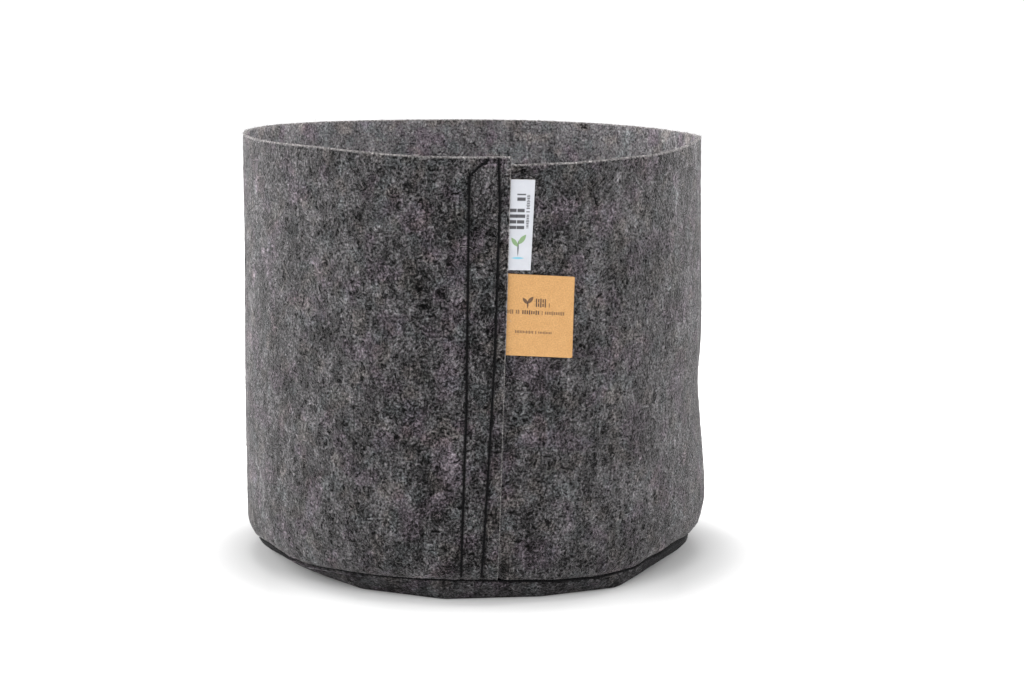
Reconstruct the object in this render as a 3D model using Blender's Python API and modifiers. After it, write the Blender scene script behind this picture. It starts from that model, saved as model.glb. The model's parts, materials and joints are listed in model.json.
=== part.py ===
"""Fabric grow bag: a felt pot about 10 in across for one plant, sewn from two pieces of felt.

The wall is one felt strip rolled round and lapped at the front, where two rows of lockstitch
close it from top to bottom. The base is a felt disc whose edge is turned up into a shallow dish
and sewn to the wall with both seam allowances inside. A folded woven label and a kraft card are
caught in the lap and swing on their own fold, like flags. Metres, +Z up, lap towards -Y.
The angle of a place on the wall is counted from the front (-Y) towards +X, in degrees.
"""

import math

import bmesh
import bpy
from mathutils import Matrix, Vector

# felt
FELT = 0.0020                  # thickness of wall and base
TOUCH = 0.0003                 # clearance kept between pieces that touch
LAP_GAP = 0.0011               # room between the two wall layers, for the label and card tabs
LAP_STEP = FELT + LAP_GAP      # how far the inner layer of the lap lies inside the outer one
STATION = 5                    # degrees between sections of wall and base

# wall: outer face, (height, radius) from above the rim down to the fold at the base seam
WALL_PROFILE = [
    (0.2400, 0.1276), (0.1900, 0.1279), (0.1400, 0.1286), (0.0900, 0.1293), (0.0500, 0.1298),
    (0.0320, 0.1297), (0.0220, 0.1290), (0.0170, 0.1278), (0.0138, 0.1261), (0.0121, 0.1240),
]
WALL_FOLD_START = 0.0320       # below this the wall turns in towards the seam
# height of the cut rim round the wall, (angle, height): the strip is rolled slightly askew
RIM_HEIGHT = [
    (-8, 0.2302), (20, 0.2312), (45, 0.2322), (80, 0.2356), (110, 0.2346), (180, 0.2356),
    (265, 0.2376), (315, 0.2370), (352, 0.2341), (370, 0.2340),
]
INNER_END = -7                 # the strip's inner end, hidden behind the lap
LAP_FULL = 12                  # the inner layer keeps its full step in up to this angle
LAP_EASED = 100                # and has come out to the common radius here
FOLD_EASED = 26                # at the base seam it has come down on the base by this angle
FLAP_EDGE = [(0.0121, 5.6), (0.2340, 8.55)]        # the strip's outer end, (height, angle)

# base: underside corners where the soft dish creases, (angle, radius)
BASE_CORNERS = [
    (-91, 0.1200), (-60, 0.1066), (-34, 0.1106), (-8, 0.1145), (18, 0.1142), (40, 0.1186),
    (62, 0.1100), (91, 0.1200), (120, 0.1140), (150, 0.1155), (180, 0.1130), (210, 0.1155),
    (240, 0.1140),
]
BASE_BULGE = 0.0008            # the turned-up edge stands out this far halfway up
BULGE_RISE = 0.42              # and this is halfway, as a share of the seam's height
BASE_MIDDLE = 0.6              # inner ring of the flat underside, as a share of the outline
SEAM_RADIUS = 0.1240           # outer fold of the base seam
SEAM_HEIGHT = 0.0118           # top of the base panel at that fold
ALLOWANCE_RADIUS = 0.1145      # inner edge of both seam allowances

# sewing thread
THREAD_RADIUS = 0.00035
STITCH = 0.0050                # length of one stitch
STITCH_CREST = 0.00025         # how far a stitch stands up between its needle holes
# the two rows down the lap, (height, angle) on the outside of the wall
LEFT_ROW = [(0.2330, 3.3), (0.2255, -1.1), (0.1050, -1.75), (0.0160, -3.0)]
RIGHT_ROW = [(0.2330, 5.6), (0.2100, 5.85), (0.1250, 4.6), (0.0160, 1.8)]
BOBBIN_DROP = 0.0040           # inside the bag the rows start lower, below the inner layer's rim
BOBBIN_RISE = 0.0065           # and end higher, above the seam allowance
CLIMB = (15, 2)                # degrees before the inner end where the base thread climbs the lap
BASE_NEEDLE_RADIUS = 0.1172    # the base seam's two threads, inside the bag
BASE_BOBBIN_RADIUS = 0.1160

# woven label and kraft card: each has a tab sewn into the lap and a flag outside it
HINGE_OUT = 0.0015             # the fold line lies this far past the flap's edge
TAB_DEPTH = 0.0090             # how far a tab reaches in behind the flap
FLAG_START = 0.0001            # a flag starts this far past its fold line
TAB_STOP = 0.0002              # a tab stops short of the fold by this and half its thickness
FOLD_ROUND = 0.00022           # rounding along the doubled ribbon's outer fold
CARD_CORNER = 0.0006           # worn corners of the card
LABEL = {"top": 0.2229, "height": 0.0465, "width": 0.0125, "thickness": 0.0005}
CARD = {"top": 0.1740, "height": 0.0420, "width": 0.0351, "thickness": 0.0004}

# colours, linear
FELT_COLOUR = (0.075, 0.070, 0.073, 1)
THREAD_COLOUR = (0.010, 0.010, 0.012, 1)
LABEL_COLOUR = (0.72, 0.75, 0.84, 1)
CARD_COLOUR = (0.77, 0.44, 0.19, 1)


def smooth_between(points, x):
    """The value at x on a curve that eases from each listed point to the next."""
    points = sorted(points)
    if x <= points[0][0]:
        return points[0][1]
    for (x0, y0), (x1, y1) in zip(points, points[1:]):
        if x <= x1:
            t = (x - x0) / (x1 - x0)
            return y0 + (y1 - y0) * t * t * (3 - 2 * t)
    return points[-1][1]


def straight_between(points, x):
    """The value at x on straight lines through the listed points."""
    points = sorted(points)
    if x <= points[0][0]:
        return points[0][1]
    for (x0, y0), (x1, y1) in zip(points, points[1:]):
        if x <= x1:
            return y0 + (y1 - y0) * (x - x0) / (x1 - x0)
    return points[-1][1]


def at(angle, radius, z):
    """A point by its angle from the front in degrees, its radius and its height."""
    a = math.radians(angle)
    return Vector((radius * math.sin(a), -radius * math.cos(a), z))


def wall_radius(z):
    return straight_between(WALL_PROFILE, z)


def lap_inset(angle):
    """How far the wall lies inside its common radius, counted along the strip from its inner end."""
    return smooth_between([(LAP_FULL, LAP_STEP), (LAP_EASED, 0.0)], angle)


def fold_lift(angle):
    """How far the wall's turned-in edge is held up off the base by the layer outside it."""
    return smooth_between([(LAP_FULL, LAP_STEP), (FOLD_EASED, 0.0)], angle)


def flap_edge(z):
    return straight_between(FLAP_EDGE, z)


def base_corner_radius(angle):
    """Radius of the underside's outline, straight from each corner to the next."""
    corners = [(a % 360, r) for a, r in BASE_CORNERS]
    corners.sort()
    corners.append((corners[0][0] + 360, corners[0][1]))
    angle = angle % 360
    if angle < corners[0][0]:
        angle += 360
    for (a0, r0), (a1, r1) in zip(corners, corners[1:]):
        if a0 <= angle <= a1:
            span = math.sin(math.radians(a1 - a0))
            to_first = math.sin(math.radians(angle - a0))
            to_second = math.sin(math.radians(a1 - angle))
            return r0 * r1 * span / (r0 * to_first + r1 * to_second)
    return corners[0][1]


def make_material(name, colour, roughness):
    material = bpy.data.materials.new(name)
    material.use_nodes = True
    shader = material.node_tree.nodes["Principled BSDF"]
    shader.inputs["Base Color"].default_value = colour
    shader.inputs["Roughness"].default_value = roughness
    shader.inputs["Metallic"].default_value = 0.0
    material.diffuse_color = colour
    return material


def place(name, data, material):
    piece = bpy.data.objects.new(name, data)
    bag.objects.link(piece)
    data.materials.append(material)
    return piece


def solidify(piece, thickness):
    """Thickens an open sheet inwards from its outer face."""
    thicken = piece.modifiers.new("felt thickness", "SOLIDIFY")
    thicken.thickness = thickness
    thicken.offset = -1
    thicken.use_even_offset = True
    thicken.use_quality_normals = True


def sheet_mesh(name, columns, round_trip):
    """An open sheet through columns of points; round_trip joins the last column to the first."""
    mesh = bpy.data.meshes.new(name)
    bm = bmesh.new()
    grid = [[bm.verts.new(point) for point in column] for column in columns]
    pairs = list(zip(grid, grid[1:]))
    if round_trip:
        pairs.append((grid[-1], grid[0]))
    for first, second in pairs:
        for i in range(len(first) - 1):
            bm.faces.new((first[i], first[i + 1], second[i + 1], second[i]))
    bm.to_mesh(mesh)
    bm.free()
    return mesh


# Wall: the felt strip, from its inner end behind the lap, round by +X and the back, to the flap

def wall_column(step):
    """Outer face from rim to allowance at one section; step runs from 0 to 1 along the strip."""
    column = []
    rows = [z for z, _ in WALL_PROFILE[1:]]
    for row, z in enumerate([WALL_PROFILE[0][0]] + rows):
        angle = INNER_END + step * (360 + flap_edge(z) - INNER_END)
        inset = lap_inset(angle)
        if row == 0:
            z = smooth_between(RIM_HEIGHT, angle)
        turned = max(0.0, (WALL_FOLD_START - z) / (WALL_FOLD_START - WALL_PROFILE[-1][0]))
        column.append(at(angle, wall_radius(z) - inset, z + fold_lift(angle) * turned ** 2))
    angle = INNER_END + step * (360 + FLAP_EDGE[0][1] - INNER_END)
    column.append(at(angle, ALLOWANCE_RADIUS, WALL_PROFILE[-1][0] + fold_lift(angle)))
    return column


def wall_panel(material):
    count = round((360 + FLAP_EDGE[1][1] - INNER_END) / STATION)
    columns = [wall_column(i / count) for i in range(count + 1)]
    piece = place("wall_panel", sheet_mesh("wall_panel", columns, False), material)
    solidify(piece, FELT)
    piece.data.shade_smooth()
    piece.data.set_sharp_from_angle(angle=math.radians(40))
    return piece


# Base: the felt disc, flat in the middle, turned up at the edge and folded in along the seam

def base_panel(material):
    columns = []
    for angle in range(0, 360, STATION):
        corner = base_corner_radius(angle)
        half_way = (corner + SEAM_RADIUS) / 2 + BASE_BULGE
        columns.append([
            at(angle, ALLOWANCE_RADIUS, SEAM_HEIGHT),
            at(angle, SEAM_RADIUS, SEAM_HEIGHT),
            at(angle, half_way, SEAM_HEIGHT * BULGE_RISE),
            at(angle, corner, 0.0),
            at(angle, corner * BASE_MIDDLE, 0.0),
        ])
    mesh = sheet_mesh("base_panel", columns, True)
    bm = bmesh.new()
    bm.from_mesh(mesh)
    middle = [e for e in bm.edges if e.is_boundary and e.verts[0].co.z < FELT]
    bmesh.ops.edgeloop_fill(bm, edges=middle)
    bmesh.ops.recalc_face_normals(bm, faces=bm.faces)
    if sum(f.normal.z * f.calc_area() for f in bm.faces) > 0:
        bmesh.ops.reverse_faces(bm, faces=bm.faces)
    bm.to_mesh(mesh)
    bm.free()
    piece = place("base_panel", mesh, material)
    solidify(piece, FELT)
    return piece


# Threads: a tube along each row that rises over every stitch and dips at the needle holes

def tube(name, points, material, ring):
    curve = bpy.data.curves.new(name, "CURVE")
    curve.dimensions = "3D"
    curve.bevel_depth = THREAD_RADIUS
    curve.bevel_resolution = 1
    curve.use_fill_caps = not ring
    spline = curve.splines.new("POLY")
    spline.points.add(len(points) - 1)
    for spot, point in zip(spline.points, points):
        spot.co = (*point, 1)
    spline.use_cyclic_u = ring
    return place(name, curve, material)


def row_points(row, outside):
    """Points down one row of the lap, on the outer face of the flap or the inner face behind it."""
    top = row[0][0] if outside else row[0][0] - BOBBIN_DROP
    bottom = row[-1][0] if outside else row[-1][0] + BOBBIN_RISE
    count = 2 * round((top - bottom) / STITCH)
    points = []
    for i in range(count + 1):
        z = top + (bottom - top) * i / count
        crest = STITCH_CREST if i % 2 else 0.0
        stand_off = TOUCH + THREAD_RADIUS + crest
        if outside:
            radius = wall_radius(z) + stand_off
        else:
            radius = wall_radius(z) - LAP_STEP - FELT - stand_off
        points.append(at(straight_between(row, z), radius, z))
    return points


def base_ring_points(radius, height):
    return [at(angle, radius, height(angle)) for angle in range(-180, 180, STATION)]


def over_wall_allowance(angle):
    """Height of the base seam's upper thread, which climbs over both layers at the lap."""
    if angle >= INNER_END:
        lift = fold_lift(angle)
    else:
        lift = smooth_between([(INNER_END - CLIMB[0], 0.0), (INNER_END - CLIMB[1], LAP_STEP)], angle)
    return WALL_PROFILE[-1][0] + FELT + lift + TOUCH + THREAD_RADIUS


def under_base_allowance(_angle):
    return SEAM_HEIGHT - FELT - TOUCH - THREAD_RADIUS


def threads(material):
    tube("side_seam_needle_thread_left", row_points(LEFT_ROW, True), material, False)
    tube("side_seam_needle_thread_right", row_points(RIGHT_ROW, True), material, False)
    tube("side_seam_bobbin_thread_left", row_points(LEFT_ROW, False), material, False)
    tube("side_seam_bobbin_thread_right", row_points(RIGHT_ROW, False), material, False)
    needle = base_ring_points(BASE_NEEDLE_RADIUS, over_wall_allowance)
    bobbin = base_ring_points(BASE_BOBBIN_RADIUS, under_base_allowance)
    tube("base_seam_needle_thread", needle, material, True)
    tube("base_seam_bobbin_thread", bobbin, material, True)


# Label and card: a tab between the layers of the lap, and a flag that swings on the fold

def hinge_frame(tag):
    """The fold's lower end, its upward axis and the flag's outward run, from the flap's edge."""
    ends = []
    for z in (tag["top"] - tag["height"], tag["top"]):
        radius = wall_radius(z) - LAP_STEP + TOUCH + tag["thickness"] / 2
        angle = flap_edge(z) + math.degrees(HINGE_OUT / radius)
        ends.append(at(angle, radius, z))
    axis = (ends[1] - ends[0]).normalized()
    middle = (ends[0] + ends[1]) / 2
    run = Vector((-middle.y, middle.x, 0)).normalized()
    run = (run - axis * run.dot(axis)).normalized()
    return ends[0], axis, run


def tag_tab(name, tag, material):
    """A curved strip that follows the inner layer, from behind the flap out to the fold."""
    columns = []
    steps = 5
    reach = TAB_DEPTH + HINGE_OUT - TAB_STOP - tag["thickness"] / 2
    for i in range(steps + 1):
        column = []
        for z in (tag["top"], tag["top"] - tag["height"] / 2, tag["top"] - tag["height"]):
            radius = wall_radius(z) - LAP_STEP + TOUCH + tag["thickness"]
            angle = flap_edge(z) + math.degrees((reach * i / steps - TAB_DEPTH) / radius)
            column.append(at(angle, radius, z))
        columns.append(column)
    piece = place(name, sheet_mesh(name, columns, False), material)
    solidify(piece, tag["thickness"])
    return piece


def flag_matrix(tag):
    start, axis, run = hinge_frame(tag)
    inward = axis.cross(run)
    turn = Matrix((run, inward, axis)).transposed().to_4x4()
    return Matrix.Translation(start) @ turn


def woven_label_flag(material):
    """The doubled ribbon outside the lap; its free edge is the ribbon's fold, so it is round."""
    bpy.ops.mesh.primitive_cube_add(size=1)
    piece = bpy.context.object
    piece.name = "woven_label_flag"
    piece.data.name = "woven_label_flag"
    for collection in list(piece.users_collection):
        collection.objects.unlink(piece)
    bag.objects.link(piece)
    width = LABEL["width"] - HINGE_OUT - FLAG_START
    size = Matrix.Diagonal((width, LABEL["thickness"], LABEL["height"], 1))
    shift = Matrix.Translation((FLAG_START + width / 2, 0, LABEL["height"] / 2))
    piece.data.transform(shift @ size)
    bm = bmesh.new()
    bm.from_mesh(piece.data)
    outer = [e for e in bm.edges if all(v.co.x > width / 2 for v in e.verts)]
    fold = [e for e in outer if e.calc_length() > LABEL["height"] / 2]
    bmesh.ops.bevel(bm, geom=fold, offset=FOLD_ROUND, segments=3, profile=0.5, affect="EDGES")
    bm.to_mesh(piece.data)
    bm.free()
    piece.data.materials.append(material)
    piece.matrix_world = flag_matrix(LABEL)
    return piece


def kraft_card_flag(material):
    """The stiff card outside the lap, cut square with slightly worn corners."""
    width = CARD["width"] - HINGE_OUT
    height = CARD["height"]
    left = FLAG_START
    cut = CARD_CORNER
    outline = [(left, 0), (width - cut, 0), (width, cut), (width, height - cut),
               (width - cut, height), (left, height)]
    curve = bpy.data.curves.new("kraft_card_flag", "CURVE")
    curve.dimensions = "2D"
    curve.fill_mode = "BOTH"
    curve.extrude = CARD["thickness"] / 2
    spline = curve.splines.new("POLY")
    spline.points.add(len(outline) - 1)
    for spot, (x, y) in zip(spline.points, outline):
        spot.co = (x, y, 0, 1)
    spline.use_cyclic_u = True
    piece = place("kraft_card_flag", curve, material)
    stand_up = Matrix.Rotation(math.radians(90), 4, "X")
    piece.matrix_world = flag_matrix(CARD) @ stand_up
    return piece


for old in list(bpy.data.objects):
    bpy.data.objects.remove(old, do_unlink=True)

bag = bpy.data.collections.new("fabric_grow_bag")
bpy.context.scene.collection.children.link(bag)

felt = make_material("charcoal_felt", FELT_COLOUR, 0.95)
thread = make_material("black_thread", THREAD_COLOUR, 0.55)
ribbon = make_material("woven_label", LABEL_COLOUR, 0.60)
kraft = make_material("kraft_card", CARD_COLOUR, 0.80)

wall_panel(felt)
base_panel(felt)
threads(thread)
tag_tab("woven_label_tab", LABEL, ribbon)
tag_tab("kraft_card_tab", CARD, kraft)
woven_label_flag(ribbon)
kraft_card_flag(kraft)
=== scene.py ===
"""Fabric grow bag: a charcoal felt pot, lapped and sewn down the front, with a label and a card."""
import json
import math

import bmesh
import bpy
import numpy as np
from mathutils import Matrix, Vector, noise


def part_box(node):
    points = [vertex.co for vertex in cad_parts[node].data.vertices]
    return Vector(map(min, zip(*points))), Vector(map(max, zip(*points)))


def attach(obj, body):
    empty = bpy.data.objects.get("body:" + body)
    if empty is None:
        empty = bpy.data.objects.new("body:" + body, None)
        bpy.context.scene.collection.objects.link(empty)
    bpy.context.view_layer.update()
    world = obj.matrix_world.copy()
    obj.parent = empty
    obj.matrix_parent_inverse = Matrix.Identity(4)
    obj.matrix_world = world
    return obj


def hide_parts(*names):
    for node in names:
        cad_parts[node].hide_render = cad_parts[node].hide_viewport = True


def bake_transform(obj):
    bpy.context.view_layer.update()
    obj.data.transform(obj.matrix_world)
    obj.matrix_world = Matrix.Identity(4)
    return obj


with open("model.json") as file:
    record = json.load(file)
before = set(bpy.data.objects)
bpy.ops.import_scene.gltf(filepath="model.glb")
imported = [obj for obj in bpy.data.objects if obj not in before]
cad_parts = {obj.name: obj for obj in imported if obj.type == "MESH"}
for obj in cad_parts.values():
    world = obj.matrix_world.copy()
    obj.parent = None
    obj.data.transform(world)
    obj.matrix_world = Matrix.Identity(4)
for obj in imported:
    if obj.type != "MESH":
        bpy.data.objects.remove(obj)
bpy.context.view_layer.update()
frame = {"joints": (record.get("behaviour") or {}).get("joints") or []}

# ---------------------------------------------------------------------------------------------
# Studio: a white sweep under a faint white dome, two softboxes on each side that graze the
# felt's nap, weaker ones in front and overhead, and a long lens a little above the rim.
# ---------------------------------------------------------------------------------------------
CAMERA_AWAY = 1.30
CAMERA_HEIGHT = 0.3333
CAMERA_ASIDE = -0.0013
CAMERA_DOWN = math.radians(9.358)
CAMERA_RIGHT = math.radians(1.011)
CAMERA_ROLL = math.radians(0.175)
LENS = 81.7
SENSOR_WIDTH = 36


def in_scene(name, data):
    """A new object that holds the data, linked into the scene."""
    made = bpy.data.objects.new(name, data)
    bpy.context.scene.collection.objects.link(made)
    return made


lens = bpy.data.cameras.new("studio_camera")
lens.lens = LENS
lens.sensor_width = SENSOR_WIDTH
camera = in_scene("studio_camera", lens)
look = Matrix.Rotation(-CAMERA_RIGHT, 4, "Z") @ Matrix.Rotation(math.pi / 2 - CAMERA_DOWN, 4, "X")
camera.matrix_world = (Matrix.Translation((CAMERA_ASIDE, -CAMERA_AWAY, CAMERA_HEIGHT)) @ look
                       @ Matrix.Rotation(CAMERA_ROLL, 4, "Z"))
bpy.context.scene.camera = camera
bpy.context.scene.view_settings.view_transform = "Standard"
bpy.context.scene.view_settings.look = "None"


def material(name, roughness=0.8):
    """A new material with one Principled BSDF; returns the material, its node tree and the shader."""
    made = bpy.data.materials.new(name)
    made.use_nodes = True
    shader = made.node_tree.nodes["Principled BSDF"]
    shader.inputs["Roughness"].default_value = roughness
    return made, made.node_tree, shader


def add_node(tree, kind, links=None, **settings):
    """A node with its settings, whose inputs are filled by values or linked from other sockets."""
    made = tree.nodes.new(kind)
    for key, value in settings.items():
        setattr(made, key, value)
    for key, value in (links or {}).items():
        if isinstance(value, bpy.types.NodeSocket):
            tree.links.new(value, made.inputs[key])
        else:
            made.inputs[key].default_value = value
    return made


def maths(tree, operation, a, b=0.0, c=0.0, clamp=False):
    return add_node(tree, "ShaderNodeMath", {0: a, 1: b, 2: c}, operation=operation,
                    use_clamp=clamp).outputs[0]


def mixed(tree, share, a, b, blend="MIX"):
    """Colour a with a share of colour b blended over it."""
    return add_node(tree, "ShaderNodeMix", {"Factor": share, "A": a, "B": b}, data_type="RGBA",
                    blend_type=blend).outputs["Result"]


FLOOR_SIZE = 60.0
sweep = bpy.data.meshes.new("studio_floor")
floor_mesh = bmesh.new()
bmesh.ops.create_grid(floor_mesh, x_segments=2, y_segments=2, size=FLOOR_SIZE / 2)
floor_mesh.to_mesh(sweep)
floor_mesh.free()
floor = in_scene("studio_floor", sweep)
white, white_tree, white_shader = material("white_sweep", 0.9)
white_shader.inputs["Base Color"].default_value = (0.70, 0.70, 0.70, 1)
white_shader.inputs["Specular IOR Level"].default_value = 0.0
white_shader.inputs["Emission Strength"].default_value = 0.9
# the sweep glows, painted light that keeps it white everywhere but round the bag; there the glow fades so
# that the bag's soft shadow shows, and the faded patch, a painted shadow, is set back and flattened so that
# the floor in front glows as well
patch = add_node(white_tree, "ShaderNodeMapping",
                 {"Vector": add_node(white_tree, "ShaderNodeTexCoord").outputs["Object"],
                  "Location": (0.0, -0.12, 0.0), "Scale": (1.0, 1.6, 1.0)})
from_painted_shadow = add_node(white_tree, "ShaderNodeVectorMath", {0: patch.outputs[0]}, operation="LENGTH")
from_bag = add_node(white_tree, "ShaderNodeVectorMath",
                    {0: add_node(white_tree, "ShaderNodeTexCoord").outputs["Object"]}, operation="LENGTH")
ramps = [add_node(white_tree, "ShaderNodeMapRange",
                  {"Value": away.outputs["Value"], "From Min": no_glow_within, "From Max": full_glow_beyond},
                  interpolation_type="SMOOTHSTEP").outputs[0]
         for away, no_glow_within, full_glow_beyond in ((from_painted_shadow, 0.22, 0.47), (from_bag, 0.118, 0.210))]
painted_floor_glow = mixed(white_tree, maths(white_tree, "MAXIMUM", *ramps), (0.02, 0.02, 0.02, 1), (1, 1, 1, 1))
white_tree.links.new(painted_floor_glow, white_shader.inputs["Emission Color"])
sweep.materials.append(white)

dome = bpy.data.worlds.new("studio_dome")
dome.use_nodes = True
dome.node_tree.nodes["Background"].inputs["Color"].default_value = (1, 1, 1, 1)
dome.node_tree.nodes["Background"].inputs["Strength"].default_value = 0.24
bpy.context.scene.world = dome


def softbox(name, place, size, watts, aim=(0, 0, 0.12)):
    light = bpy.data.lights.new(name, "AREA")
    light.shape = "RECTANGLE"
    light.size, light.size_y = size
    light.energy = watts
    box = in_scene(name, light)
    box.location = place
    box.rotation_euler = (Vector(aim) - Vector(place)).to_track_quat("-Z", "Y").to_euler()
    box.visible_camera = False


softbox("left_softbox", (-1.80, 0.35, 0.45), (0.8, 0.8), 27)
softbox("right_softbox", (1.80, 0.35, 0.45), (0.8, 0.8), 12)
softbox("back_left_softbox", (-1.35, 1.35, 0.40), (0.8, 0.7), 54)
softbox("back_right_softbox", (1.35, 1.35, 0.40), (0.8, 0.7), 38)
softbox("front_softbox", (0.0, -1.6, 1.3), (1.6, 0.9), 16)
softbox("top_softbox", (0.0, 0.0, 1.7), (1.0, 1.0), 10)

# ---------------------------------------------------------------------------------------------
# Wall panel: one strip of needled felt 2 mm thick, cut about 24 cm wide, rolled round and lapped
# at the front. Its lower edge turns in at the base seam. The rim is a raw cut edge.
# ---------------------------------------------------------------------------------------------
FELT = 0.0020
LAP_GAP = 0.0011
LAP_STEP = FELT + LAP_GAP
# the wall in section, (height, radius)
WALL_PROFILE = [
    (0.2400, 0.1276), (0.1900, 0.1279), (0.1400, 0.1286), (0.0900, 0.1293), (0.0500, 0.1298),
    (0.0320, 0.1297), (0.0220, 0.1290), (0.0170, 0.1278), (0.0138, 0.1261), (0.0121, 0.1240),
]
# the rim, (angle along the strip, height); angle 0 is the front and 90 is the bag's right
RIM_HEIGHT = [
    (-8, 0.2290), (20, 0.2301), (45, 0.2316), (80, 0.2356), (110, 0.2346), (180, 0.2356),
    (265, 0.2376), (315, 0.2370), (352, 0.2341), (370, 0.2340),
]
INNER_END = -7                 # angle of the strip's inner end, which the flap covers
LAP_FULL, LAP_EASED = 12, 100    # the under layer is set in until here, and eased out by here
# the flap's free edge and the two stitch rows beside it, (height, angle)
FLAP_EDGE = [(0.0121, 5.6), (0.2340, 8.55)]
LEFT_ROW = [(0.2330, 3.3), (0.2255, -1.1), (0.1050, -1.75), (0.0160, -3.0)]
RIGHT_ROW = [(0.2330, 5.6), (0.2100, 5.85), (0.1250, 4.6), (0.0160, 1.8)]
LAP_RADIUS = 0.128             # radius of the wall where it laps
ON_FLAP = 330                  # strip angles past this one belong to the flap
SEAM_HEIGHT = 0.0121
ALLOWANCE_RADIUS = 0.1145
LIP_RADIUS = 0.1228            # the turned-in edge rounds over into the wall here
TURN_IN = 0.0320               # the wall starts to turn in below this height
# at the seam the inner end lies over the flap, and steps down past the flap's lower corner between
# these angles; beyond them the under layer is set in by no more than HELD_STEP there
HELD_UP = (-0.6, 1.8)
HELD_STEP = 0.0008
EDGE_FROM, EDGE_EASED = 362, 6.0    # the flap starts to lie down at this angle, and over this many
EDGE_DOWN = 0.00075            # how far its edge lies down
TAG_CLEAR = 0.004              # the edge stays up this far above and below each tag
TAG_EASED = 0.006              # and lies down again over this height
# how far the base seam wanders up and down round the bag, (angle, rise)
SEAM_RISE = [
    (-112, -0.0010), (-100, -0.0020), (-88, -0.0014), (-78, 0.0014), (-64, 0.0032), (-53, 0.0012),
    (-46, 0.0002), (-33, 0.0010), (-9, 0.0013), (2, 0.0012), (10, 0.0003), (21, -0.0012),
    (32, -0.0022), (43, -0.0013), (52, 0.0020), (62, 0.0042), (78, 0.0022), (90, -0.0020),
    (102, -0.0022), (120, -0.0006), (160, 0.0010), (200, -0.0006), (235, 0.0009),
]
# soft dents and swells of the standing felt: (angle, height, half angle, half height, depth out)
DENTS = [
    (90, 0.225, 40, 0.045, -0.0009), (90, 0.097, 26, 0.022, -0.0020), (88, 0.034, 34, 0.026, 0.0022),
    (270, 0.225, 40, 0.045, 0.0006), (268, 0.045, 36, 0.035, -0.0009), (40, 0.150, 24, 0.060, 0.0006),
    (320, 0.110, 22, 0.070, 0.0007), (180, 0.120, 40, 0.060, -0.0010), (215, 0.060, 22, 0.030, 0.0008),
    (140, 0.200, 20, 0.030, 0.0006), (62, 0.050, 12, 0.020, -0.0006), (300, 0.045, 14, 0.025, -0.0005),
]
STITCH = 0.0042                # one stitch of the side seam
GROOVE, GROOVE_DEPTH = 0.0007, 0.00045    # the line that the thread pulls into the felt
HOLE_DEPTH = 0.00025           # and how much deeper it is at each needle hole
PUCKER, PUCKER_DEPTH = 0.0026, 0.00035    # the wider hollow on both sides of the line


def easing(points, x):
    """Values at x on a curve that eases from each listed point to the next."""
    at_x = np.asarray(x, float)
    xs, ys = np.array(sorted(points)).T
    i = np.clip(np.searchsorted(xs, at_x) - 1, 0, len(xs) - 2)
    t = np.clip((at_x - xs[i]) / (xs[i + 1] - xs[i]), 0, 1)
    return ys[i] + (ys[i + 1] - ys[i]) * t * t * (3 - 2 * t)


def along(points, x):
    """Values at x on straight lines through the listed points."""
    xs, ys = np.array(sorted(points)).T
    return np.interp(x, xs, ys)


def round_the_bag(points, angle):
    """Eased values of a closed list of (angle, value), for any angle in degrees."""
    shifted = [(a + turn, v) for a, v in points for turn in (-360, 0, 360)]
    return easing(shifted, np.asarray(angle, float) % 360)


def swell(angle, z):
    """How far the standing felt bulges or dents."""
    out = np.zeros(np.broadcast(angle, z).shape)
    for a, h, half_angle, half_height, depth in DENTS:
        aside = ((np.asarray(angle) - a + 180) % 360 - 180) / half_angle
        out += depth * np.exp(-(aside ** 2) - ((z - h) / half_height) ** 2)
    return out


def spot(angle, radius, z):
    a = np.radians(angle)
    return np.stack([radius * np.sin(a), -radius * np.cos(a), z + 0 * a], -1)


def lap_inset(angle):
    return easing([(LAP_FULL, LAP_STEP), (LAP_EASED, 0.0)], angle)


def wall_face(angle, z, strip_angle):
    """Radius and height of the wall's outer face; strip_angle tells the lap's layers apart."""
    near_seam = np.clip((TURN_IN - z) / (TURN_IN - SEAM_HEIGHT), 0, 1)
    low_corner = FLAP_EDGE[0][1]
    held_up = easing([(low_corner + HELD_UP[0], LAP_STEP), (low_corner + HELD_UP[1], 0.0)], strip_angle)
    lift = held_up * near_seam ** 2 + round_the_bag(SEAM_RISE, angle) * near_seam
    inset = lap_inset(strip_angle)
    inset = inset + (np.minimum(inset, held_up + HELD_STEP) - inset) * near_seam ** 2
    radius = along(WALL_PROFILE, z) - inset + swell(angle, z) * (1 - near_seam)
    return radius, z + lift


def row_depth(angle, z, strip_angle):
    """How deep the felt is drawn in by the two rows of stitching, and how close each place is."""
    pulled = np.zeros(np.broadcast(angle, z).shape)
    close = np.zeros_like(pulled)
    on_flap = strip_angle > ON_FLAP
    for row in (LEFT_ROW, RIGHT_ROW):
        away = np.radians(angle - 360 - along(row, z)) * LAP_RADIUS
        hole = 0.5 + 0.5 * np.cos((row[0][0] - z) / STITCH * 2 * np.pi)
        groove = np.exp(-(away / GROOVE) ** 2)
        pucker = np.exp(-(away / PUCKER) ** 2)
        pulled += on_flap * (groove * (GROOVE_DEPTH + HOLE_DEPTH * hole) + pucker * PUCKER_DEPTH)
        close = np.maximum(close, on_flap * groove)
    return pulled, close


# columns along the strip: fine over the lap, wider elsewhere; rows up the wall
LAP_FROM = 345
far = np.linspace(INNER_END, LAP_FROM, 250, endpoint=False)
lap = np.linspace(LAP_FROM, 360 + FLAP_EDGE[1][1], 100)
strip = np.concatenate([far, lap])
heights = np.concatenate([
    np.linspace(SEAM_HEIGHT, 0.020, 9), np.linspace(0.0215, 0.040, 12), np.linspace(0.042, 0.2270, 112),
    [0.2283, 0.2293, 0.2300],
])
share = (strip - INNER_END) / (strip[-1] - INNER_END)
LIP_SHARES = (0.0, 0.33, 0.66, 1.0)    # rows of the turned-in edge, from its cut edge outwards


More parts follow.
